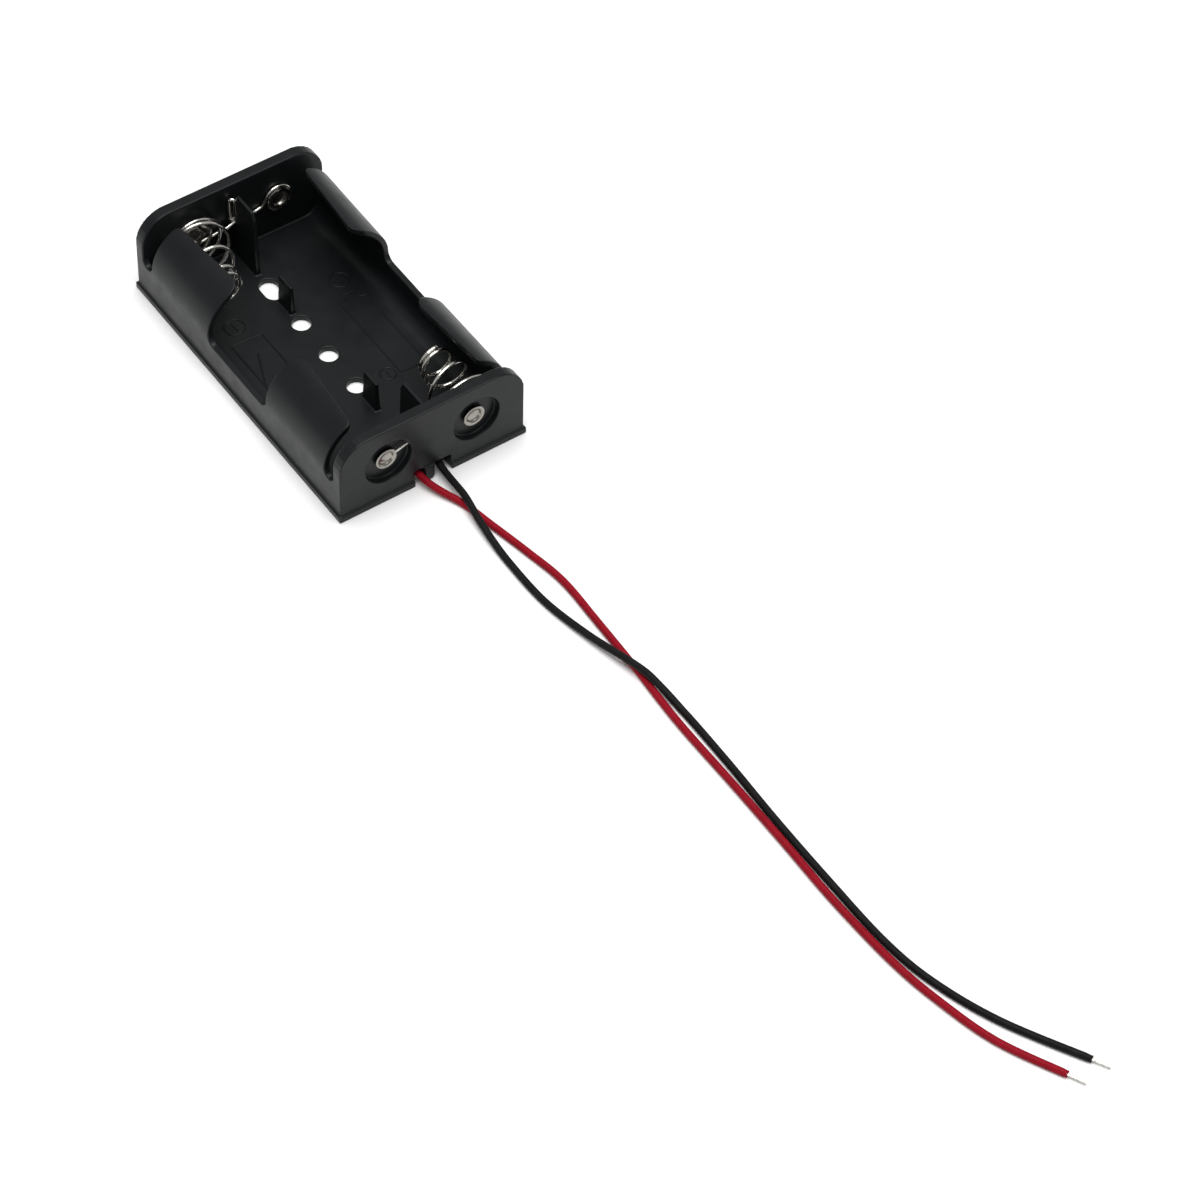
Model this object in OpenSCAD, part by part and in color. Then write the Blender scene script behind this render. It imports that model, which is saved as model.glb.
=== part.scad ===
// Holder for two AA cells lying side by side, with riveted contacts and two flying leads.
// The origin is at the centre of the underside. X runs along the cells, towards the end
// where the leads come out. Y runs across the cells and Z points up. Millimetres.

/* [Housing] */
// Overall length, over the base lip
body_l = 57; // [56.5:0.1:58]
// Overall width, over the base lip
body_w = 32.5; // [32.3:0.1:33.5]
// Height of the two end walls
wall_h = 14.6; // [13.8:0.1:15.5]
// Thickness of the end walls
end_t = 1.9; // [1.7:0.1:2.1]
// Thickness of the long walls and of the clips over the cells
side_t = 1; // [0.8:0.1:1.1]
// Thickness of the floor
floor_t = 1; // [0.8:0.1:1.2]
// Radius of the top corners of the end walls
corner_r = 5; // [3:0.5:6]
// How far the base lip stands out all round
lip_out = 0.3; // [0.2:0.05:0.4]
// Height of the base lip
lip_h = 1.1; // [0.8:0.1:1.5]
// Radius between the floor and the long walls
cove_r = 2.7; // [1:0.1:3]

/* [Cells] */
// Distance between the two cell axes
pitch = 15.2; // [15.1:0.05:15.3]
// Height of the cell axes above the underside
axis_z = 8; // [7.9:0.05:8.3]

/* [Clips] */
// Half of the open length between the two clips of one side
window_half = 8; // [6:0.5:9]
// Height of the long wall between two clips
low_h = 5.8; // [5:0.1:6.5]
// Distance from the middle to the end of a clip next to the end wall
clip_end = 23.8; // [23.5:0.1:24.3]
// Outer radius of a clip's curve over the cell
clip_r = 7.6; // [7.2:0.1:8.4]
// Height of the middle of that curve above the underside
clip_z = 7; // [6.6:0.1:7.6]
// Distance of a clip's free edge from the centre line, next to the window
edge_inner = 10.2; // [10:0.1:10.4]
// Distance of a clip's free edge from the centre line, next to the end wall
edge_outer = 10.9; // [10.6:0.1:11.3]

/* [Floor] */
// Diameter of the screw holes
hole_d = 3; // [2.6:0.1:3.2]
// Distance between the screw holes
hole_step = 7.6; // [7.4:0.1:7.8]
// Length of the slotted hole between the centres of its ends
slot_l = 1.6; // [0:0.1:2]

/* [Ribs between the cells] */
// Height of the tall ribs on the end walls
tall_rib_h = 13.4; // [12:0.1:13.8]
// Distance from the middle to the free end of a tall rib
tall_rib_end = 20; // [19.5:0.1:21]
// Height of the short ribs on the floor
short_rib_h = 6.4; // [5:0.1:7]
// Distance from the middle to the centre of a short rib
short_rib_x = 11.7; // [11.5:0.1:12]
// Length of a short rib
short_rib_l = 3.4; // [3:0.1:3.6]

/* [Contacts] */
// Diameter of the spring wire
wire_d = 0.6; // [0.5:0.05:0.65]
// Free length of the near spring, from the end wall to its tip
spring_l = 10.8; // [9.5:0.1:11]
// Number of open turns of the near spring
open_turns = 1.8; // [1.6:0.1:2.2]
// Diameter of the near spring's wide end, to the middle of the wire
spring_wide = 10.9; // [10.4:0.1:11.2]
// Diameter of the near spring's narrow end, to the middle of the wire
spring_narrow = 5.2; // [4.8:0.1:5.6]
// Diameter of a rivet's head inside the holder
rivet_head_d = 4.2; // [4.1:0.1:4.3]
// Diameter of a rivet's shank
rivet_shank_d = 2.8; // [2.6:0.1:2.9]

/* [Leads] */
// Outer diameter of the insulation
lead_d = 1.1; // [1:0.05:1.2]
// Diameter of the tinned strands
strand_d = 0.4; // [0.35:0.05:0.4]
// Length of the bare tip of a lead
tip_l = 2.7; // [2:0.1:4]

/* [Hidden] */

// Outer faces of the walls above the base lip, and the inner face of the end walls.
wall_l = body_l - 2 * lip_out;
wall_w = body_w - 2 * lip_out;
inner_x = wall_l / 2 - end_t;
inner_y = wall_w / 2 - side_t;
cell_y = pitch / 2;
clip_y = wall_w / 2 - clip_r;
clip_bore_r = clip_r - side_t;
clip_corner_inner = 2.2;
clip_corner_outer = 1;
window_r = 1.5;
end_slot_w = inner_x - clip_end;
end_slot_z = 6.5;
// Round pocket in the outer face of an end wall, with the hole for the rivet in it.
pocket_r = 4;
pocket_depth = 1.1;
rivet_hole_r = rivet_shank_d / 2 + 0.05;
// Opening for the two leads at the foot of the near end wall, and the post in it.
notch_w = 6.3;
notch_h = 2.9;
post_y = -0.65;
post_w = 1.7;
post_foot = 0.15;
post_cut = 0.4;
// Ribs.
rib_foot_t = 0.9;
rib_top_t = 0.5;
rib_lean = 0.4;
rib_chamfer = 1.4;
wire_gap_l = 1.45;
wire_gap_z = 7.4;
// Contacts.
wire_r = wire_d / 2;
wire_x = inner_x - wire_r;
ring_r = 2.2;
head_t = 0.3;
rivet_wall = 0.25;
rim_r = 1.8;
rim_x = wall_l / 2 - 0.5;
dish = 0.55;
turn_steps = 20;
// Stations of the two springs: turns since the start of the ring round the rivet, radius,
// and distance from the ring. In between, the wire goes round evenly.
near_tip = spring_l - wire_d;
near_stations = [
    [0, ring_r, 0],
    [0.6, ring_r, 0],
    [0.85, spring_wide / 2, 0.4],
    [1.6, spring_wide / 2, 0.75],
    [1.6 + open_turns, spring_narrow / 2, near_tip - 0.9],
    [2.8 + open_turns, spring_narrow / 2, near_tip]
];
far_tip = spring_l + 0.2;
far_stations = [
    [0, ring_r, 0],
    [0.6, ring_r, 0],
    [0.68, ring_r + 0.55, wire_d + 0.04],
    [1.13, 3.8, wire_d + 0.04],
    [2.42, 4.8, 2.05],
    [2.84, 4.3, 4.1],
    [3.45, 3.6, 6.2],
    [4.48, 2.3, far_tip - 2],
    [5.98, 2.3, far_tip]
];
wire_sides = 8;
lead_sides = 8;
// Where the insulation ends inside, and where the red strands pass through the wall.
strand_x = inner_x - strand_d / 2;
lead_x = inner_x - lead_d / 2 - 0.35;
red_end = [lead_x, -4.9, 4.9];
black_end = [25.53, 2.95, 3.2];
groove_a = 23;
groove_y = -cell_y + (rivet_hole_r + strand_d / 2) * cos(groove_a);
groove_z = axis_z + (rivet_hole_r + strand_d / 2) * sin(groove_a);
tail_x = wall_l / 2 - pocket_depth + strand_d / 2;
// Routes of the two leads from their inner ends to their bare tips: hand-set round
// points on the table, raised where the black lead passes over the red one.
lead_r = lead_d / 2;
red_route = on_table(smooth([
    red_end,
    [lead_x, -4.32, 4.23], [lead_x, -3.77, 3.61], [25.53, -3.23, 2.99], [25.89, -2.76, 2.42],
    [26.46, -2.4, 1.95], [27.18, -2.19, 1.63], [27.97, -2.1, 1.47], [28.8, -2.03, 1.4],
    [29.65, -1.86, 1.32], [30.9, -1.42, 1.12],
    [32.3, -0.82, 0.9], [35.7, 0.6, 0.6], [41, 1.7, lead_r], [48, 3.1, lead_r],
    [55.5, 4.3, lead_r], [64.5, 4.1, lead_r], [75, 3.7, lead_r], [86, 3.1, lead_r],
    [98.5, 3.1, lead_r], [111, 3, lead_r], [123, 2.8, lead_r], [135.5, 3.3, lead_r],
    [144.3, 4.6, lead_r], [153.7, 7, lead_r], [163.2, 11.6, lead_r]
], 2));
black_route = on_table(smooth([
    black_end,
    [25.62, 2.69, 2.9], [25.97, 2.2, 2.36], [26.53, 1.79, 1.93], [27.23, 1.53, 1.66],
    [28.02, 1.39, 1.54], [28.83, 1.32, 1.51], [29.7, 1.27, 1.51], [31, 1.2, 1.53], [32.8, 1.12, 1.64],
    [35.6, 0.9, 1.8], [41, 0.2, 1.2], [48, -0.2, lead_r],
    [57, -0.1, lead_r], [66, 1.4, 0.9], [75.5, 3.6, 1.8], [79.5, 4.3, 1.4], [84.5, 4.8, lead_r],
    [95.4, 4.7, lead_r], [107.6, 4.3, lead_r], [120, 4.2, lead_r], [132.2, 4.4, lead_r],
    [141.2, 5.8, lead_r], [151.4, 9.4, lead_r], [163.1, 15.8, lead_r]
], 2));
eps = 0.01;
clear = 0.02;
big = 40;

// ---------------------------------------------------------------- curves and tubes

function unit(v) = v / norm(v);

function tangent(path, i) =
    unit(path[min(i + 1, len(path) - 1)] - path[max(i - 1, 0)]);

// Side vectors square to the path, carried along it without twist.
function sides_along(path, start) = [
    for (
        i = 0, u = start - (start * tangent(path, 0)) * tangent(path, 0);
        i < len(path);
        i = i + 1,
        t = i < len(path) ? tangent(path, i) : [0, 0, 1],
        u = u - (u * t) * t
    )
    unit(u)
];

// A round bar of radius r that follows the path, closed at both ends.
module tube(path, r, sides, start = [0.1, 0.2, 1]) {
    u = sides_along(path, start);
    last = len(path) - 1;
    points = [
        for (i = [0:last])
        let (w = cross(tangent(path, i), u[i]))
        for (k = [0:sides - 1])
        path[i] + r * (cos(360 * k / sides) * u[i] + sin(360 * k / sides) * w)
    ];
    wall = [
        for (i = [0:last - 1])
        for (k = [0:sides - 1])
        let (a = i * sides + k, b = i * sides + (k + 1) % sides)
        each [[a, a + sides, b + sides], [a, b + sides, b]]
    ];
    caps = [
        [for (k = [0:sides - 1]) k],
        [for (k = [sides - 1:-1:0]) last * sides + k]
    ];
    polyhedron(points = points, faces = concat(wall, caps), convexity = 10);
}

// The route with each inner corner turned into a bend that starts `cut` before it.
function bent(route, cut, steps = 4) = [
    route[0],
    for (i = [1:len(route) - 2])
    let (
        a = route[i] + min(cut, norm(route[i - 1] - route[i]) / 2) * unit(route[i - 1] - route[i]),
        b = route[i] + min(cut, norm(route[i + 1] - route[i]) / 2) * unit(route[i + 1] - route[i])
    )
    for (k = [0:steps])
    let (f = k / steps)
    (1 - f) * (1 - f) * a + 2 * f * (1 - f) * route[i] + f * f * b,
    route[len(route) - 1]
];

// A smooth curve through all points of the route.
function smooth(route, steps) =
    let (n = len(route) - 1)
    [
        for (i = [0:n - 1])
        let (
            p0 = route[max(i - 1, 0)],
            p1 = route[i],
            p2 = route[i + 1],
            p3 = route[min(i + 2, n)]
        )
        for (k = [0:steps - 1])
        let (f = k / steps)
        0.5 * (
            2 * p1 + (p2 - p0) * f
            + (2 * p0 - 5 * p1 + 4 * p2 - p3) * f * f
            + (3 * p1 - p0 - 3 * p2 + p3) * f * f * f
        ),
        route[n]
    ];

// The path of a lead, kept from sinking into the table it lies on.
function on_table(path) = [for (p = path) [p[0], p[1], max(p[2], lead_r)]];

// Part of a circle in a plane square to X.
function arc_x(x, y, z, r, from, to, steps) = [
    for (k = [0:steps])
    let (a = from + (to - from) * k / steps)
    [x, y + r * cos(a), z + r * sin(a)]
];

// ---------------------------------------------------------------- housing

// Arc of a plan outline, as points.
function corner(x, y, r, from, to) = [
    for (k = [0:8])
    let (a = from + (to - from) * k / 8)
    [x + r * cos(a), y + r * sin(a)]
];

// Places a copy at each of the four quarters.
module quarters() {
    for (sx = [0, 1]) {
        for (sy = [0, 1]) {
            mirror([sx, 0, 0]) mirror([0, sy, 0]) children();
        }
    }
}

// Stands a YZ outline upright and runs it along X, centred.
module along_x(length) {
    rotate([90, 0, 90]) linear_extrude(length, center = true) children();
}

// Stands an XZ outline upright and runs it along Y, centred.
module along_y(length) {
    rotate([90, 0, 0]) linear_extrude(length, center = true) children();
}

module end_wall_outline() {
    half = wall_w / 2;
    polygon(concat(
        [[-half, 0], [half, 0]],
        corner(half - corner_r, wall_h - corner_r, corner_r, 0, 90),
        corner(-half + corner_r, wall_h - corner_r, corner_r, 90, 180)
    ));
}

// Section of one long wall: upright beside the cell's lower half, then over the cell.
// The floor meets it in a cove.
module side_section() {
    difference() {
        union() {
            intersection() {
                translate([clip_y, clip_z]) circle(clip_r);
                translate([clip_y, clip_z]) square(clip_r);
            }
            translate([clip_y, 0]) square([clip_r, clip_z]);
        }
        translate([clip_y, clip_z]) circle(clip_bore_r);
        translate([clip_y - 1, floor_t + cove_r]) square([clip_bore_r + 1, clip_z - floor_t - cove_r]);
        translate([inner_y - cove_r, floor_t + cove_r]) circle(cove_r);
        translate([clip_y - 1, floor_t]) square([clip_bore_r + 1 - cove_r, cove_r + eps]);
    }
}

// Plan of one clip, with its two round corners. The free edge slants towards the window.
module clip_plan() {
    slant = atan2(edge_outer - edge_inner, clip_end - window_half);
    polygon(concat(
        [[clip_end, wall_w], [window_half, wall_w]],
        corner(window_half + clip_corner_inner, edge_inner + clip_corner_inner, clip_corner_inner, 180, 270 + slant),
        corner(clip_end - clip_corner_outer, edge_outer + clip_corner_outer, clip_corner_outer, 270 + slant, 360)
    ));
}

// The part of the long wall above the low stretch that is cut away to leave the clips.
module clip_gaps() {
    difference() {
        translate([0, 0, low_h + window_r])
            linear_extrude(big) square([2 * wall_l, 2 * wall_w], center = true);
        quarters() linear_extrude(3 * big) clip_plan();
    }
    // The window between the clips, with round lower corners.
    along_y(2 * wall_w) translate([0, low_h]) window_outline();
    // The narrow slots between the clips and the end walls, round at the foot.
    for (s = [-1, 1]) {
        along_y(2 * wall_w) translate([s * (inner_x - end_slot_w / 2), end_slot_z + end_slot_w / 2]) {
            circle(end_slot_w / 2);
            translate([-end_slot_w / 2, 0]) square([end_slot_w, big]);
        }
    }
}

module window_outline() {
    polygon(concat(
        [[window_half, big], [-window_half, big]],
        corner(-window_half + window_r, window_r, window_r, 180, 270),
        corner(window_half - window_r, window_r, window_r, 270, 360)
    ));
}

// An upright rib in the plane of symmetry: an XZ outline with a thin top and a thick foot.
module rib(outline, height) {
    intersection() {
        along_y(rib_foot_t) polygon(outline);
        along_x(2 * body_l) polygon([
            [-rib_foot_t / 2, 0], [rib_foot_t / 2, 0],
            [rib_top_t / 2, height], [-rib_top_t / 2, height]
        ]);
    }
}

function tall_rib(gap) = [
    [tall_rib_end - rib_lean, 0],
    [inner_x + eps, 0],
    [inner_x + eps, gap ? wire_gap_z : tall_rib_h],
    [inner_x - (gap ? wire_gap_l : 0), gap ? wire_gap_z : tall_rib_h],
    [inner_x - (gap ? wire_gap_l : 0), tall_rib_h],
    [tall_rib_end + rib_chamfer / 2, tall_rib_h],
    [tall_rib_end, tall_rib_h - rib_chamfer]
];

short_rib = [
    [short_rib_x - short_rib_l / 2 - rib_lean / 2, 0],
    [short_rib_x + short_rib_l / 2 + rib_lean / 2, 0],
    [short_rib_x + short_rib_l / 2, short_rib_h],
    [short_rib_x - short_rib_l / 2, short_rib_h]
];

// Round pocket and rivet hole in an end wall, at cell y, on the side of the sign s.
module rivet_seat(s, y) {
    translate([s * wall_l / 2, y, axis_z]) rotate([0, 90, 0]) {
        cylinder(h = 2 * pocket_depth, r = pocket_r, center = true, $fn = 64);
        cylinder(h = 3 * end_t, r = rivet_hole_r, center = true, $fn = 48);
    }
}

// Passage for the red strands, beside the rivet hole.
module strand_groove() {
    translate([inner_x - 1, groove_y, groove_z]) rotate([0, 90, 0])
        cylinder(h = end_t + 1, r = strand_d / 2 + clear, $fn = 24);
}

// Opening for the leads, from the inner face of the near end wall outwards, round the post.
module lead_notch() {
    left = post_y - post_w / 2;
    right = post_y + post_w / 2;
    translate([inner_x + (body_l / 2 - inner_x) / 2 + 0.5, 0, 0])
        along_x(body_l / 2 - inner_x + 1)
            polygon([
                [-notch_w / 2, -1], [-notch_w / 2, notch_h],
                [left, notch_h], [left, post_foot + post_cut], [left + post_cut, post_foot],
                [right - post_cut, post_foot], [right, post_foot + post_cut], [right, notch_h],
                [notch_w / 2, notch_h], [notch_w / 2, -1]
            ]);
}

module screw_holes() {
    for (k = [-1:1]) {
        translate([k * hole_step, 0, -1]) cylinder(h = floor_t + 2, d = hole_d, $fn = 48);
    }
    translate([-2 * hole_step, 0, -1]) {
        cylinder(h = floor_t + 2, d = hole_d, $fn = 48);
        translate([-slot_l, 0, 0]) cylinder(h = floor_t + 2, d = hole_d, $fn = 48);
        translate([-slot_l, -hole_d / 2, 0]) cube([slot_l, hole_d, floor_t + 2]);
    }
}

// Floor with the lip that runs round its edge.
module base() {
    difference() {
        translate([-body_l / 2, -body_w / 2, 0]) cube([body_l, body_w, lip_h]);
        translate([-inner_x, -inner_y, floor_t]) cube([2 * inner_x, 2 * inner_y, lip_h]);
    }
    // Front of the post between the two leads, level with the lip.
    translate([inner_x, post_y - post_w / 2, lip_h / 2])
        cube([body_l / 2 - inner_x, post_w, notch_h - lip_h / 2]);
}

module housing() {
    color("#1d1e1e")
    difference() {
        union() {
            base();
            for (s = [-1, 1]) {
                translate([s * (wall_l - end_t) / 2, 0, 0]) along_x(end_t) end_wall_outline();
            }
            difference() {
                for (m = [0, 1]) {
                    mirror([0, m, 0]) along_x(wall_l - end_t) side_section();
                }
                clip_gaps();
            }
            rib(tall_rib(false), tall_rib_h);
            mirror([1, 0, 0]) rib(tall_rib(true), tall_rib_h);
            rib(short_rib, short_rib_h);
            mirror([1, 0, 0]) rib(short_rib, short_rib_h);
        }
        rivet_seat(1, -cell_y);
        rivet_seat(1, cell_y);
        rivet_seat(-1, -cell_y);
        rivet_seat(-1, cell_y);
        lead_notch();
        strand_groove();
        screw_holes();
    }
}

// ---------------------------------------------------------------- contacts

// Middle line of a spring, with its ring on the plane x = 0 and its tip on the +X side,
// wound clockwise as seen from its tip. `start` is the angle it starts at. `lean` moves
// the tip sideways; the higher `droop`, the more of the lean comes near the tip.
function spring_path(stations, start, lean, droop) =
    let (
        last = stations[len(stations) - 1],
        radius = [for (s = stations) [s[0], s[1]]],
        height = [for (s = stations) [s[0], s[2]]],
        n = ceil(last[0] * turn_steps)
    )
    [
        for (i = [0:n])
        let (
            t = last[0] * i / n,
            r = lookup(t, radius),
            x = lookup(t, height),
            a = start - 360 * t,
            part = pow(x / last[2], droop)
        )
        [x, r * cos(a) + lean[0] * part, r * sin(a) + lean[1] * part]
    ];

module near_spring() {
    path = [
        for (p = spring_path(near_stations, 295, [0.8, 0.85], 1))
        [wire_x - p[0], cell_y + p[1], axis_z + p[2]]
    ];
    color("#b9b8b2") tube(path, wire_r, wire_sides);
}

// The far spring, the wire over to the other cell, and the open ring there: one wire.
// It crosses the rib through a loop that stands in the slot, its legs one behind the other.
module link_spring() {
    spring = [
        for (p = spring_path(far_stations, 262, [-0.4, -1.4], 2.2))
        [p[0] - wire_x, p[1] - cell_y, axis_z + p[2]]
    ];
    front = wire_d + 0.06 - wire_x;
    ring = arc_x(-wire_x, cell_y, axis_z, ring_r, 168, -120, 20);
    crossing = bent([
        spring[0],
        [-wire_x, -4.8, 6.1],
        [front, -1.6, 7.2],
        [front, -0.15, 7.85],
        [front, -0.2, 12.2],
        [-wire_x, -0.9, 12.2],
        [-wire_x, -0.9, 7.8],
        [-wire_x, 0.6, 7.75],
        [-wire_x, 3.6, 7.15],
        [-wire_x, 4.8, 7.5],
        ring[0]
    ], 0.45, 3);
    path = concat(
        [for (i = [len(spring) - 1:-1:1]) spring[i]],
        crossing,
        [for (i = [1:20]) ring[i]]
    );
    color("#b9b8b2") tube(path, wire_r, wire_sides);
}

// A rivet through an end wall, dished at both ends. `gap` is what its head holds against
// the wall.
module rivet(s, y, gap) {
    head_r = rivet_head_d / 2;
    head_x = inner_x - gap - head_t;
    shank_r = rivet_shank_d / 2;
    bore = shank_r - rivet_wall;
    color("#bdbab0")
    translate([0, y, axis_z]) rotate([0, s * 90, 0]) rotate_extrude($fn = 48) polygon([
        [0, head_x + dish],
        [bore - 0.15, head_x + dish],
        [bore, head_x + 0.1],
        [bore + 0.1, head_x],
        [head_r - 0.2, head_x],
        [head_r, head_x + 0.15],
        [head_r, inner_x - gap],
        [shank_r, inner_x - gap],
        [shank_r, rim_x - 0.3],
        [rim_r, rim_x - 0.1],
        [rim_r, rim_x],
        [rim_r - rivet_wall, rim_x],
        [bore, rim_x - 0.25],
        [bore - 0.15, rim_x - dish],
        [0, rim_x - dish]
    ]);
}

module far_minus_rivet() {
    rivet(-1, -cell_y, wire_d);
}

module far_plus_rivet() {
    rivet(-1, cell_y, wire_d);
}

module near_minus_rivet() {
    rivet(1, cell_y, wire_d);
}

module near_plus_rivet() {
    rivet(1, -cell_y, strand_d);
}

// ---------------------------------------------------------------- leads

// Stripped strands of the red lead: up the wall, through it beside the rivet, and out.
module red_strands() {
    path = bent([
        red_end,
        [strand_x, red_end[1] - 0.3, red_end[2] + 0.6],
        [strand_x, groove_y, groove_z],
        [tail_x, groove_y, groove_z],
        [tail_x + 0.1, groove_y + 1.9, groove_z + 1]
    ], 0.3, 3);
    color("#c9c6bd") tube(path, strand_d / 2, lead_sides);
}

// Stripped strands of the black lead: under the wide coil and round the spring's ring.
module black_strands() {
    wrap = arc_x(strand_x, cell_y, axis_z, ring_r + wire_r + strand_d / 2 + clear, 222, 130, 10);
    path = concat(
        [black_end, [strand_x, black_end[1] + 0.5, black_end[2] + 0.5]],
        wrap
    );
    color("#c9c6bd") tube(path, strand_d / 2, lead_sides);
}

module red_lead() {
    color("#b0172b") tube(red_route, lead_d / 2, lead_sides);
}

module black_lead() {
    color("#1b1b1c") tube(black_route, lead_d / 2, lead_sides);
}

// Tinned end beyond the insulation.
module tip(route) {
    last = route[len(route) - 1];
    before = route[len(route) - 2];
    tube([last, last + tip_l * unit(last - before)], strand_d / 2, lead_sides);
}

module red_tip() {
    color("#c9c6bd") tip(red_route);
}

module black_tip() {
    color("#c9c6bd") tip(black_route);
}

housing();
link_spring();
near_spring();
far_minus_rivet();
far_plus_rivet();
near_minus_rivet();
near_plus_rivet();
red_lead();
red_tip();
red_strands();
black_lead();
black_tip();
black_strands();
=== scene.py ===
"""Holder for two AA cells with riveted wire contacts and two flying leads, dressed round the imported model."""

import math

import bmesh
import bpy
import numpy as np
from mathutils import Matrix, Vector


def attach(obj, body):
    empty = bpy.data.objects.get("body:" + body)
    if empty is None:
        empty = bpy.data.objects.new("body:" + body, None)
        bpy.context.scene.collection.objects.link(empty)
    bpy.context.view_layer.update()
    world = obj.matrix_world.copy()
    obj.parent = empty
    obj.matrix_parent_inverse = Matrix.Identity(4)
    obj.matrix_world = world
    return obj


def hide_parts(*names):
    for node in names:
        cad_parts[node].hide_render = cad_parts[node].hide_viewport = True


MM = 0.001

# The camera: where it looks on the table, and from where, as in the photograph. Distances in
# metres, angles in degrees, lens in millimetres.
AIM = (61.05 * MM, 6.94 * MM, 0)
DISTANCE = 693.8 * MM
AZIMUTH = 53.82
ELEVATION = 49.81
ROLL = 2.02
LENS = 145.57

# Holder, in millimetres: half its length over the base lip, inner face of its end walls, depth of
# the pockets in their outer faces, radius of a rivet's hole, middle of a cell, floor thickness.
BODY_HALF = 28.5
INNER_X = 26.3
POCKET_DEPTH = 1.1
RIVET_HOLE_R = 1.45
CELL_Y = 7.6
AXIS_Z = 8
FLOOR_T = 1

# Leads, in millimetres: radius, gap to the end wall inside, and points from the inner end to the
# bare tip, as in the CAD source.
LEAD_R = 0.55
LEAD_GAP = 0.35
LEAD_X = INNER_X - LEAD_R - LEAD_GAP
RED_ROUTE = [
    (LEAD_X, -4.9, 4.9),
    (LEAD_X, -4.32, 4.23), (LEAD_X, -3.77, 3.61), (25.53, -3.23, 2.99), (25.89, -2.76, 2.42),
    (26.46, -2.4, 1.95), (27.18, -2.19, 1.63), (27.97, -2.1, 1.47), (28.8, -2.03, 1.4),
    (29.65, -1.86, 1.32), (30.9, -1.42, 1.12),
    (32.3, -0.82, 0.9), (35.7, 0.6, 0.6), (41, 1.7, LEAD_R), (48, 3.1, LEAD_R),
    (55.5, 4.3, LEAD_R), (64.5, 4.1, LEAD_R), (75, 3.7, LEAD_R), (86, 3.1, LEAD_R),
    (98.5, 3.1, LEAD_R), (111, 3, LEAD_R), (123, 2.8, LEAD_R), (135.5, 3.3, LEAD_R),
    (144.3, 4.6, LEAD_R), (153.7, 7, LEAD_R), (163.2, 11.6, LEAD_R),
]
BLACK_ROUTE = [
    (25.53, 2.95, 3.2),
    (25.62, 2.69, 2.9), (25.97, 2.2, 2.36), (26.53, 1.79, 1.93), (27.23, 1.53, 1.66),
    (28.02, 1.39, 1.54), (28.83, 1.32, 1.51), (29.7, 1.27, 1.51), (31, 1.2, 1.53), (32.8, 1.12, 1.64),
    (35.6, 0.9, 1.8), (41, 0.2, 1.2), (48, -0.2, LEAD_R),
    (57, -0.1, LEAD_R), (66, 1.4, 0.9), (75.5, 3.6, 1.8), (79.5, 4.3, 1.4), (84.5, 4.8, LEAD_R),
    (95.4, 4.7, LEAD_R), (107.6, 4.3, LEAD_R), (120, 4.2, LEAD_R), (132.2, 4.4, LEAD_R),
    (141.2, 5.8, LEAD_R), (151.4, 9.4, LEAD_R), (163.1, 15.8, LEAD_R),
]

# Bare tips, in millimetres: length, and how far they start inside the lead.
TIP_L = 2.7
TIP_OVERLAP = 0.3

# Thin strands of a bare tip: how many and their turns a millimetre. Then, in millimetres, radius,
# step along them, and distance of the outer ones from the middle one, which they press into a little.
THIN_STRANDS = 7
THIN_STRAND_TURNS = 0.18
THIN_STRAND_R = 0.075
THIN_STRAND_STEP = 0.12
THIN_STRAND_OUT = 2 * THIN_STRAND_R * 0.98

# Spring wire, in millimetres: radius, place of its rings, their radius, and how far the front leg
# of the upright loop stands before them.
WIRE_R = 0.3
WIRE_X = INNER_X - WIRE_R
RING_R = 2.2
LOOP_STANDOFF = 0.66

# Hollow rivets, in millimetres: radii, and where the rolled rim ends along X.
SHANK_R = 1.4
BORE_R = 1.15
HEAD_R = 2.1
RIM_R = 1.8
RIM_X = 27.7
RIVET_SIDES = 64

# Strands of the leads inside, in millimetres: radius, place on the wall, gap to the ring they go
# round, and the passage beside the near plus rivet that the red ones take to their tail outside.
STRAND_R = 0.2
STRAND_X = INNER_X - STRAND_R
WRAP_GAP = 0.02
GROOVE_ANGLE = math.radians(23)
GROOVE_Y = -CELL_Y + (RIVET_HOLE_R + STRAND_R) * math.cos(GROOVE_ANGLE)
GROOVE_Z = AXIS_Z + (RIVET_HOLE_R + STRAND_R) * math.sin(GROOVE_ANGLE)
# The tail lies 0.3 mm further out than in the CAD source.
TAIL_X = BODY_HALF - POCKET_DEPTH + STRAND_R

# Round bars: how many sides they have, and in millimetres how far their ends narrow and fold back
# (see add_tube).
LEAD_SIDES = 24
WIRE_SIDES = 16
FINE_SIDES = 8
LEAD_FOLD = 0.08
WIRE_FOLD = 0.06
STRAND_FOLD = 0.08

# Beads of the marks moulded on the floor, in millimetres: radius, and depth of their middle line.
MARK_R = 0.15
MARK_SINK = 0.03

# Lean of the clips over the cells, in millimetres: how far beside the window, the height it starts
# at and grows over, the Y beyond which it applies, the X where it has faded, and half the window.
CLIP_LEAN = 0.4
LEAN_FOOT_Z = 6
LEAN_RISE = 7
LEAN_INNER_Y = 9
LEAN_END_X = 24
WINDOW_HALF = 8

HOUSING_CELL = 0.12
HOUSING_PASSES = 4
HOUSING_KEPT = 0.15

# The part of a noise's values that is spread over a material's whole range.
NOISE_LOW = 0.3
NOISE_HIGH = 0.7

WORLD_STRENGTH = 0.42

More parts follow.
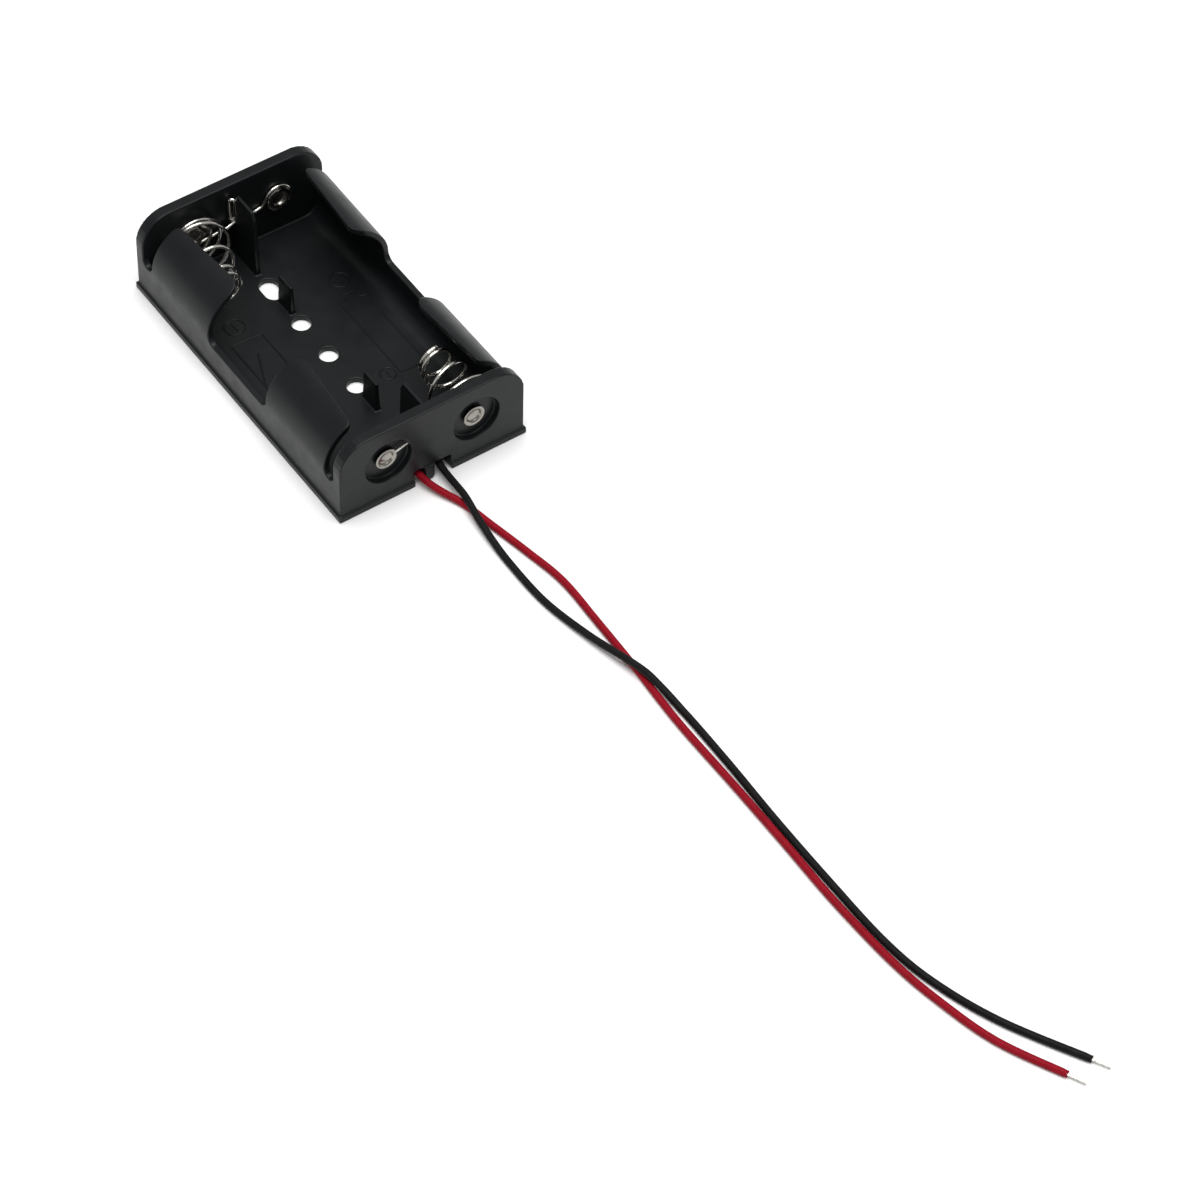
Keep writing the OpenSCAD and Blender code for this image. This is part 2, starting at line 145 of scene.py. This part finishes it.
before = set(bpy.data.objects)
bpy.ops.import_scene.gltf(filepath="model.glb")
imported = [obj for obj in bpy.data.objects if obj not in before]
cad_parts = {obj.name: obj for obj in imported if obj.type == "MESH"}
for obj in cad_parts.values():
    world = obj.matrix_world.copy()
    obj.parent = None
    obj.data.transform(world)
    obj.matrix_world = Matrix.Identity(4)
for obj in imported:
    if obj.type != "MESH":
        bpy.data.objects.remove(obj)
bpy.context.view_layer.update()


# ---------------------------------------------------------------- paths and tubes

def smooth_path(route, steps):
    """A Catmull-Rom curve through the points of a route."""
    points = [Vector(p) for p in route]
    padded = [points[0]] + points + [points[-1]]
    path = []
    for p0, p1, p2, p3 in zip(padded, padded[1:], padded[2:], padded[3:]):
        for k in range(steps):
            f = k / steps
            path.append(0.5 * (
                2 * p1 + (p2 - p0) * f
                + (2 * p0 - 5 * p1 + 4 * p2 - p3) * f ** 2
                + (3 * p1 - p0 - 3 * p2 + p3) * f ** 3
            ))
    path.append(points[-1])
    return path


def frames_along(path):
    """Two side vectors at each point, carried along the path without twist."""
    last = len(path) - 1
    side = Vector((0.1, 0.2, 1))
    frames = []
    for i in range(len(path)):
        t = (path[min(i + 1, last)] - path[max(i - 1, 0)]).normalized()
        side = (side - side.dot(t) * t).normalized()
        frames.append((t, side, t.cross(side)))
    return frames


def mesh_object(name, bm, smooth_angle=35):
    """Turns a bmesh in metres into an object of the scene, smooth below the given angle."""
    bmesh.ops.recalc_face_normals(bm, faces=bm.faces)
    mesh = bpy.data.meshes.new(name)
    bm.to_mesh(mesh)
    bm.free()
    mesh.shade_smooth()
    mesh.set_sharp_from_angle(angle=math.radians(smooth_angle))
    piece = bpy.data.objects.new(name, mesh)
    bpy.context.scene.collection.objects.link(piece)
    return piece


def add_tube(bm, path, radius, sides, fold=0.0):
    """Adds a round bar along a path in millimetres.

    With `fold`, the bar is thinner by that much in radius at both ends of its path and has its
    full width from the path's next point on. Its end faces, at full width, lie `fold` behind the
    ends. A round edge was meant: the rings of each end run the wrong way.
    """
    frames = frames_along(path)
    rim = [(0.0, 0.0)]
    if fold:
        rim = [(fold * (1 - math.sin(a)), fold * (1 - math.cos(a)))
               for a in (math.pi / 2, math.pi / 4, 0.0)]
    sections = [(path[0] + frames[0][0] * back, frames[0], radius - inset) for inset, back in rim]
    sections += [(p, f, radius) for p, f in zip(path[1:-1], frames[1:-1])]
    sections += [(path[-1] - frames[-1][0] * back, frames[-1], radius - inset)
                 for inset, back in reversed(rim)]
    rings = []
    for centre, (_, u, w), r in sections:
        ring = []
        for k in range(sides):
            a = 2 * math.pi * k / sides
            ring.append(bm.verts.new((centre + r * (math.cos(a) * u + math.sin(a) * w)) * MM))
        rings.append(ring)
    for low, high in zip(rings, rings[1:]):
        for k in range(sides):
            bm.faces.new((low[k], high[k], high[(k + 1) % sides], low[(k + 1) % sides]))
    bm.faces.new(rings[0])
    bm.faces.new(list(reversed(rings[-1])))


def tube(name, path, radius, fold, sides=WIRE_SIDES):
    bm = bmesh.new()
    add_tube(bm, path, radius, sides, fold)
    return mesh_object(name, bm)


# ---------------------------------------------------------------- camera

def direction(azimuth, elevation):
    """Unit vector towards a place at these angles in degrees. Azimuth 0 is the -Y side."""
    a = math.radians(azimuth)
    e = math.radians(elevation)
    return Vector((math.sin(a) * math.cos(e), -math.cos(a) * math.cos(e), math.sin(e)))


def make_camera():
    back = direction(AZIMUTH, ELEVATION)
    data = bpy.data.cameras.new("camera")
    data.lens = LENS
    data.sensor_width = 36
    data.clip_start = 0.01
    data.clip_end = 20
    camera = bpy.data.objects.new("camera", data)
    camera.location = Vector(AIM) + back * DISTANCE
    turn = (-back).to_track_quat("-Z", "Y").to_matrix() @ Matrix.Rotation(math.radians(ROLL), 3, "Z")
    camera.rotation_euler = turn.to_euler()
    bpy.context.scene.collection.objects.link(camera)
    bpy.context.scene.camera = camera


make_camera()


# ---------------------------------------------------------------- leads

def make_lead(name, node, tip_node, route):
    path = [Vector((p.x, p.y, max(p.z, LEAD_R))) for p in smooth_path(route, steps=8)]
    lead = tube(name, path, LEAD_R, LEAD_FOLD, LEAD_SIDES)
    ahead = (path[-1] - path[-2]).normalized()
    tip = twisted_strands(name + "_tip", path[-1] - TIP_OVERLAP * ahead, path[-1] + TIP_L * ahead)
    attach(lead, "root")
    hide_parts(node)
    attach(tip, "root")
    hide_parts(tip_node)
    return lead, tip


def twisted_strands(name, start, end):
    """Thin strands twisted round a straight one, between two points in millimetres."""
    steps = max(2, math.ceil((end - start).length / THIN_STRAND_STEP))
    points = [start.lerp(end, k / steps) for k in range(steps)] + [end]
    frames = frames_along(points)
    travelled = [0.0]
    for a, b in zip(points, points[1:]):
        travelled.append(travelled[-1] + (b - a).length)
    bm = bmesh.new()
    add_tube(bm, points, THIN_STRAND_R, FINE_SIDES)
    for n in range(THIN_STRANDS - 1):
        strand = []
        for p, (_, u, w), s in zip(points, frames, travelled):
            angle = 2 * math.pi * (n / (THIN_STRANDS - 1) + THIN_STRAND_TURNS * s)
            strand.append(p + THIN_STRAND_OUT * (math.cos(angle) * u + math.sin(angle) * w))
        add_tube(bm, strand, THIN_STRAND_R, FINE_SIDES)
    return mesh_object(name, bm)


red_lead, red_tip = make_lead("red_wire", "red_lead", "red_tip", RED_ROUTE)
black_lead, black_tip = make_lead("black_wire", "black_lead", "black_tip", BLACK_ROUTE)


# ---------------------------------------------------------------- materials

def new_material(name):
    material = bpy.data.materials.new(name)
    material.use_nodes = True
    return material, material.node_tree, material.node_tree.nodes["Principled BSDF"]


def add_node(tree, kind, **inputs):
    node = tree.nodes.new(kind)
    for key, value in inputs.items():
        node.inputs[key.replace("_", " ")].default_value = value
    return node


def position_noise(tree, scale, detail):
    """Noise over the object's own coordinates, as scale features a metre."""
    coordinates = tree.nodes.new("ShaderNodeTexCoord")
    noise = add_node(tree, "ShaderNodeTexNoise", Scale=scale, Detail=detail)
    tree.links.new(coordinates.outputs["Object"], noise.inputs["Vector"])
    return noise.outputs["Fac"]


def spread(tree, value, low, high):
    """Maps a noise value to a range."""
    node = add_node(tree, "ShaderNodeMapRange", From_Min=NOISE_LOW, From_Max=NOISE_HIGH,
                    To_Min=low, To_Max=high)
    tree.links.new(value, node.inputs["Value"])
    return node.outputs["Result"]


def mix_colours(tree, factor, first, second):
    """Mixes two colours. The node's sockets go by number, because several share a name."""
    node = tree.nodes.new("ShaderNodeMix")
    node.data_type = "RGBA"
    node.inputs[6].default_value = (*first, 1)
    node.inputs[7].default_value = (*second, 1)
    tree.links.new(factor, node.inputs[0])
    return node.outputs[2]


def bump(tree, shader, height, strength, distance):
    """Gives a shader small relief. `distance` is its depth in metres at full strength."""
    node = add_node(tree, "ShaderNodeBump", Strength=strength, Distance=distance)
    tree.links.new(height, node.inputs["Height"])
    tree.links.new(node.outputs["Normal"], shader.inputs["Normal"])


def plastic_material():
    """Moulded black plastic: satin, faintly mottled, with fine moulding grain."""
    material, tree, shader = new_material("moulded_black_plastic")
    cloudy = position_noise(tree, scale=140, detail=4)
    dark = (0.0056, 0.0068, 0.0074)
    light = (0.0076, 0.0089, 0.0095)
    colour = mix_colours(tree, spread(tree, cloudy, 0, 1), dark, light)
    tree.links.new(colour, shader.inputs["Base Color"])
    polish = position_noise(tree, scale=420, detail=5)
    tree.links.new(spread(tree, polish, low=0.31, high=0.42), shader.inputs["Roughness"])
    shader.inputs["Specular IOR Level"].default_value = 0.21
    bump(tree, shader, position_noise(tree, scale=9000, detail=2), strength=0.12, distance=0.00002)
    return material


def metal_material(name, colour, low, high):
    """Plated or tinned metal: a little yellow, slightly uneven, with a roughness from low to high."""
    material, tree, shader = new_material(name)
    shader.inputs["Metallic"].default_value = 1
    dark = tuple(0.9 * c for c in colour)
    cloudy = position_noise(tree, scale=500, detail=3)
    tree.links.new(mix_colours(tree, spread(tree, cloudy, 0, 1), dark, colour), shader.inputs["Base Color"])
    polish = position_noise(tree, scale=900, detail=2)
    tree.links.new(spread(tree, polish, low, high), shader.inputs["Roughness"])
    bump(tree, shader, position_noise(tree, scale=4000, detail=1), strength=0.03, distance=0.00001)
    return material


def insulation_material(name, dark, light, roughness):
    """Extruded PVC insulation: nearly matt, slightly uneven in colour, roughness and relief."""
    material, tree, shader = new_material(name)
    cloudy = position_noise(tree, scale=700, detail=3)
    tree.links.new(mix_colours(tree, spread(tree, cloudy, 0, 1), dark, light), shader.inputs["Base Color"])
    polish = position_noise(tree, scale=1600, detail=3)
    tree.links.new(spread(tree, polish, low=roughness - 0.06, high=roughness + 0.08),
                   shader.inputs["Roughness"])
    shader.inputs["Specular IOR Level"].default_value = 0.12
    bump(tree, shader, position_noise(tree, scale=2600, detail=2), strength=0.1, distance=0.00004)
    return material


plastic = plastic_material()
spring_metal = metal_material("nickel_spring_wire", (0.78, 0.76, 0.71), low=0.12, high=0.18)
rivet_metal = metal_material("nickel_rivet", (0.33, 0.315, 0.285), low=0.16, high=0.24)
tinned_metal = metal_material("tinned_copper", (0.72, 0.69, 0.64), low=0.28, high=0.45)
red_pvc = insulation_material("red_insulation", dark=(0.22, 0.0017, 0.009),
                              light=(0.275, 0.0028, 0.013), roughness=0.58)
black_pvc = insulation_material("black_insulation", dark=(0.005, 0.0046, 0.0046),
                                light=(0.009, 0.0085, 0.0085), roughness=0.58)


def finish_piece(piece, material, slot, *nodes):
    """Gives a piece its material and its place in the part."""
    piece.data.materials.clear()
    piece.data.materials.append(material)
    if nodes:
        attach(piece, "root")
        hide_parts(*nodes)


finish_piece(red_lead, red_pvc, "red_insulation")
finish_piece(black_lead, black_pvc, "black_insulation")
finish_piece(red_tip, tinned_metal, "tinned_strands")
finish_piece(black_tip, tinned_metal, "tinned_strands")


# ---------------------------------------------------------------- housing

def clip_lean(x, y, z):
    """How far a point of a clip moves over the cell: most beside the window, fading towards the ends."""
    if z < LEAN_FOOT_Z or abs(x) > LEAN_END_X or abs(y) < LEAN_INNER_Y:
        return 0
    rise = min(1, (z - LEAN_FOOT_Z) / LEAN_RISE)
    lean = CLIP_LEAN * rise * rise * (1 - abs(x) / LEAN_END_X) / (1 - WINDOW_HALF / LEAN_END_X)
    return -math.copysign(lean, y)


def rounded_housing():
    """The CAD housing with the soft edges of a moulding: remeshed finely, smoothed and thinned out."""
    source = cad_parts["housing"]
    shell = bpy.data.objects.new("moulded_housing", source.data.copy())
    bpy.context.scene.collection.objects.link(shell)
    remesh = shell.modifiers.new("remesh", "REMESH")
    remesh.mode = "VOXEL"
    remesh.voxel_size = HOUSING_CELL * MM
    soften = shell.modifiers.new("soften", "SMOOTH")
    soften.factor = 0.5
    soften.iterations = HOUSING_PASSES
    thin = shell.modifiers.new("thin", "DECIMATE")
    thin.ratio = HOUSING_KEPT
    evaluated = shell.evaluated_get(bpy.context.evaluated_depsgraph_get())
    mesh = bpy.data.meshes.new_from_object(evaluated)
    shell.modifiers.clear()
    shell.data = mesh
    for vertex in mesh.vertices:
        x, y, z = vertex.co / MM
        vertex.co.y += clip_lean(x, y, z) * MM
    mesh.shade_smooth()
    return shell


def circle_mark(x, y, r, steps=32):
    angles = (2 * math.pi * k / steps for k in range(steps + 1))
    return [(x + r * math.cos(a), y + r * math.sin(a)) for a in angles]


# Marks moulded on the floor of the two bays, in millimetres: cell outlines, one slanting line, and
# circled minus and plus signs.
FLOOR_MARKS = [
    circle_mark(-12.3, -8.8, 1.6), [(-13.2, -8.8), (-11.4, -8.8)],
    [(-9.2, -11.3), (-9, -6.1), (9.2, -6.1), (9.2, -11.3), (-9.2, -11.3)], [(-5.9, -8.7), (0.3, -11.2)],
    circle_mark(-12, 9.6, 1.5), [(-12.9, 9.6), (-11.1, 9.6)], [(-12, 8.7), (-12, 10.5)],
    [(-9, 8.2), (-9, 10.2), (-7.5, 10.3), (-7.3, 11.3), (9.2, 11.3), (8.9, 7), (-7.3, 7), (-7.5, 8.1),
     (-9, 8.2)],
    circle_mark(8.2, 5.2, 1.2), [(7.5, 5.2), (8.9, 5.2)],
]


def make_floor_marks():
    """Low round beads, a little more than half sunk in the floor."""
    bm = bmesh.new()
    for mark in FLOOR_MARKS:
        corners = [Vector((x, y, FLOOR_T - MARK_SINK)) for x, y in mark]
        for a, b in zip(corners, corners[1:]):
            add_tube(bm, [a, b], MARK_R, FINE_SIDES)
    return mesh_object("floor_marks", bm, smooth_angle=60)


housing = rounded_housing()
finish_piece(housing, plastic, "black_plastic", "housing")
marks = make_floor_marks()
finish_piece(marks, plastic, "black_plastic")
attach(marks, "root")


# ---------------------------------------------------------------- contacts

# Stations of the two springs: turns since the start of the ring round the rivet, radius,
# and distance from the ring, as in the CAD source.
NEAR_STATIONS = [(0, RING_R, 0), (0.6, RING_R, 0), (0.85, 5.45, 0.4), (1.6, 5.45, 0.75),
                 (3.4, 2.6, 9.3), (4.6, 2.6, 10.2)]
FAR_STATIONS = [(0, RING_R, 0), (0.6, RING_R, 0), (0.68, RING_R + 0.55, 0.64), (1.13, 3.8, 0.64),
                (2.42, 4.8, 2.05), (2.84, 4.3, 4.1), (3.45, 3.6, 6.2), (4.48, 2.3, 9), (5.98, 2.3, 11)]


def spring_path(stations, start, lean, droop, steps=40):
    """Middle line of a spring round the X axis, from its ring on x = 0 to its tip.

    It starts at the angle `start`, in degrees. `lean` moves the tip along Y and Z, and the higher
    `droop`, the more of that comes near the tip.
    """
    turns, radii, heights = zip(*stations)
    path = []
    for i in range(math.ceil(turns[-1] * steps) + 1):
        t = min(i / steps, turns[-1])
        r = float(np.interp(t, turns, radii))
        x = float(np.interp(t, turns, heights))
        a = math.radians(start - 360 * t)
        part = (x / heights[-1]) ** droop
        path.append(Vector((x, r * math.cos(a) + lean[0] * part, r * math.sin(a) + lean[1] * part)))
    return path


def softened(path, passes):
    """The path with its kinks eased, ends kept."""
    for _ in range(passes):
        path = [path[0]] + [(a + 2 * b + c) / 4 for a, b, c in zip(path, path[1:], path[2:])] + [path[-1]]
    return path


def bent(route, cut, steps=6):
    """The route with each corner turned into a bend that starts `cut` before it."""
    points = [Vector(p) for p in route]
    path = [points[0]]
    for before, here, after in zip(points, points[1:], points[2:]):
        a = here + min(cut, (before - here).length / 2) * (before - here).normalized()
        b = here + min(cut, (after - here).length / 2) * (after - here).normalized()
        for k in range(steps + 1):
            f = k / steps
            path.append((1 - f) ** 2 * a + 2 * f * (1 - f) * here + f ** 2 * b)
    path.append(points[-1])
    return path


def arc_x(x, y, radius, start, end, steps):
    """Points of an arc about X, round the rivet at y, from one angle to another in degrees."""
    angles = (math.radians(start + (end - start) * k / steps) for k in range(steps + 1))
    return [Vector((x, y + radius * math.cos(a), AXIS_Z + radius * math.sin(a))) for a in angles]


def make_near_spring():
    path = [Vector((WIRE_X - p.x, CELL_Y + p.y, AXIS_Z + p.z))
            for p in spring_path(NEAR_STATIONS, start=295, lean=(0.8, 0.85), droop=1)]
    return tube("near_coil", softened(path, passes=3), WIRE_R, WIRE_FOLD)


def make_link_spring():
    spring = [Vector((p.x - WIRE_X, p.y - CELL_Y, AXIS_Z + p.z))
              for p in spring_path(FAR_STATIONS, start=262, lean=(-0.4, -1.4), droop=2.2)]
    front = LOOP_STANDOFF - WIRE_X
    ring = arc_x(-WIRE_X, CELL_Y, RING_R, start=168, end=-120, steps=40)
    crossing = bent([spring[0], (-WIRE_X, -4.8, 6.1), (front, -1.6, 7.2), (front, -0.15, 7.85),
                     (front, -0.2, 12.2), (-WIRE_X, -0.9, 12.2), (-WIRE_X, -0.9, 7.8), (-WIRE_X, 0.6, 7.75),
                     (-WIRE_X, 3.6, 7.15), (-WIRE_X, 4.8, 7.5), ring[0]], cut=0.45)
    path = list(reversed(spring))[:-1] + crossing + ring[1:]
    return tube("link_wire", softened(path, passes=2), WIRE_R, WIRE_FOLD)


def make_rivet(name, side, y, gap):
    """A hollow rivet, turned about X: head inside, rolled rim outside. The head holds `gap` of wire."""
    head_x = INNER_X - gap
    profile = [
        (0, head_x + 0.24), (BORE_R - 0.2, head_x + 0.25), (BORE_R - 0.07, head_x + 0.18),
        (BORE_R, head_x - 0.02), (BORE_R + 0.06, head_x - 0.18), (BORE_R + 0.2, head_x - 0.28),
        (BORE_R + 0.38, head_x - 0.3), (HEAD_R - 0.3, head_x - 0.27), (HEAD_R - 0.1, head_x - 0.2),
        (HEAD_R, head_x - 0.1), (HEAD_R - 0.03, head_x - 0.03), (HEAD_R - 0.1, head_x),
        (SHANK_R + 0.05, head_x), (SHANK_R, head_x + 0.06), (SHANK_R, RIM_X - 0.34),
        (SHANK_R + 0.12, RIM_X - 0.2), (RIM_R - 0.08, RIM_X - 0.14), (RIM_R, RIM_X - 0.07),
        (RIM_R - 0.06, RIM_X - 0.01), (RIM_R - 0.2, RIM_X), (BORE_R + 0.2, RIM_X - 0.06),
        (BORE_R + 0.04, RIM_X - 0.2), (BORE_R - 0.03, RIM_X - 0.4), (BORE_R - 0.15, RIM_X - 0.52),
        (0, RIM_X - 0.56),
    ]
    bm = bmesh.new()
    rings = []
    for r, x in profile:
        if r == 0:
            rings.append([bm.verts.new((side * x * MM, y * MM, AXIS_Z * MM))] * RIVET_SIDES)
            continue
        ring = []
        for k in range(RIVET_SIDES):
            a = 2 * math.pi * k / RIVET_SIDES
            place = (side * x * MM, (y + r * math.cos(a)) * MM, (AXIS_Z + r * math.sin(a)) * MM)
            ring.append(bm.verts.new(place))
        rings.append(ring)
    for low, high in zip(rings, rings[1:]):
        for k in range(RIVET_SIDES):
            after = (k + 1) % RIVET_SIDES
            corners = (low[k], low[after], high[after], high[k])
            bm.faces.new(tuple(dict.fromkeys(corners)))
    return mesh_object(name, bm, smooth_angle=50)


def make_red_strands():
    """Tinned strands of the red lead: up the wall, through it beside the rivet, and out as a short tail."""
    path = bent([RED_ROUTE[0], (STRAND_X, -5.2, 5.5), (STRAND_X, GROOVE_Y, GROOVE_Z),
                 (TAIL_X, GROOVE_Y, GROOVE_Z), (TAIL_X + 0.1, GROOVE_Y + 2.15, GROOVE_Z + 0.75)], cut=0.3)
    return tube("red_strand_tail", path, STRAND_R, STRAND_FOLD)


def make_black_strands():
    """Tinned strands of the black lead: under the wide coil and round the spring's ring."""
    wrap = arc_x(STRAND_X, CELL_Y, RING_R + WIRE_R + STRAND_R + WRAP_GAP, start=222, end=130, steps=10)
    path = bent([BLACK_ROUTE[0], (STRAND_X, 3.45, 3.7)] + wrap, cut=0.2)
    return tube("black_strand_wrap", path, STRAND_R, STRAND_FOLD)


finish_piece(make_near_spring(), spring_metal, "spring_wire", "near_spring")
finish_piece(make_link_spring(), spring_metal, "spring_wire", "link_spring")
for name, node, side, y, gap in [
    ("far_minus_eyelet", "far_minus_rivet", -1, -CELL_Y, 2 * WIRE_R),
    ("far_plus_eyelet", "far_plus_rivet", -1, CELL_Y, 2 * WIRE_R),
    ("near_minus_eyelet", "near_minus_rivet", 1, CELL_Y, 2 * WIRE_R),
    ("near_plus_eyelet", "near_plus_rivet", 1, -CELL_Y, 2 * STRAND_R),
]:
    finish_piece(make_rivet(name, side, y, gap), rivet_metal, "rivet_metal", node)
finish_piece(make_red_strands(), tinned_metal, "tinned_strands", "red_strands")
finish_piece(make_black_strands(), tinned_metal, "tinned_strands", "black_strands")


# ---------------------------------------------------------------- table and light

def make_table():
    material, tree, shader = new_material("pale_table")
    shader.inputs["Base Color"].default_value = (0.96, 0.96, 0.96, 1)
    shader.inputs["Roughness"].default_value = 0.6
    shader.inputs["Specular IOR Level"].default_value = 0.2
    bm = bmesh.new()
    bmesh.ops.create_grid(bm, x_segments=1, y_segments=1, size=3)
    table = mesh_object("table", bm)
    table.data.materials.append(material)


def make_light(name, azimuth, elevation, distance, size, power):
    """A round lamp that faces what the camera faces: distance and size in metres, power in watts."""
    back = direction(azimuth, elevation)
    data = bpy.data.lights.new(name, "AREA")
    data.shape = "DISK"
    data.size = size
    data.energy = power
    light = bpy.data.objects.new(name, data)
    light.location = Vector(AIM) + back * distance
    light.rotation_euler = (-back).to_track_quat("-Z", "Y").to_euler()
    bpy.context.scene.collection.objects.link(light)


def make_world():
    world = bpy.data.worlds.new("studio")
    world.use_nodes = True
    background = world.node_tree.nodes["Background"]
    background.inputs["Color"].default_value = (1, 1, 1, 1)
    background.inputs["Strength"].default_value = WORLD_STRENGTH
    bpy.context.scene.world = world


make_table()
make_world()
make_light("overhead", azimuth=0, elevation=90, distance=1.5, size=1.4, power=24)
bpy.context.scene.view_settings.view_transform = "Standard"
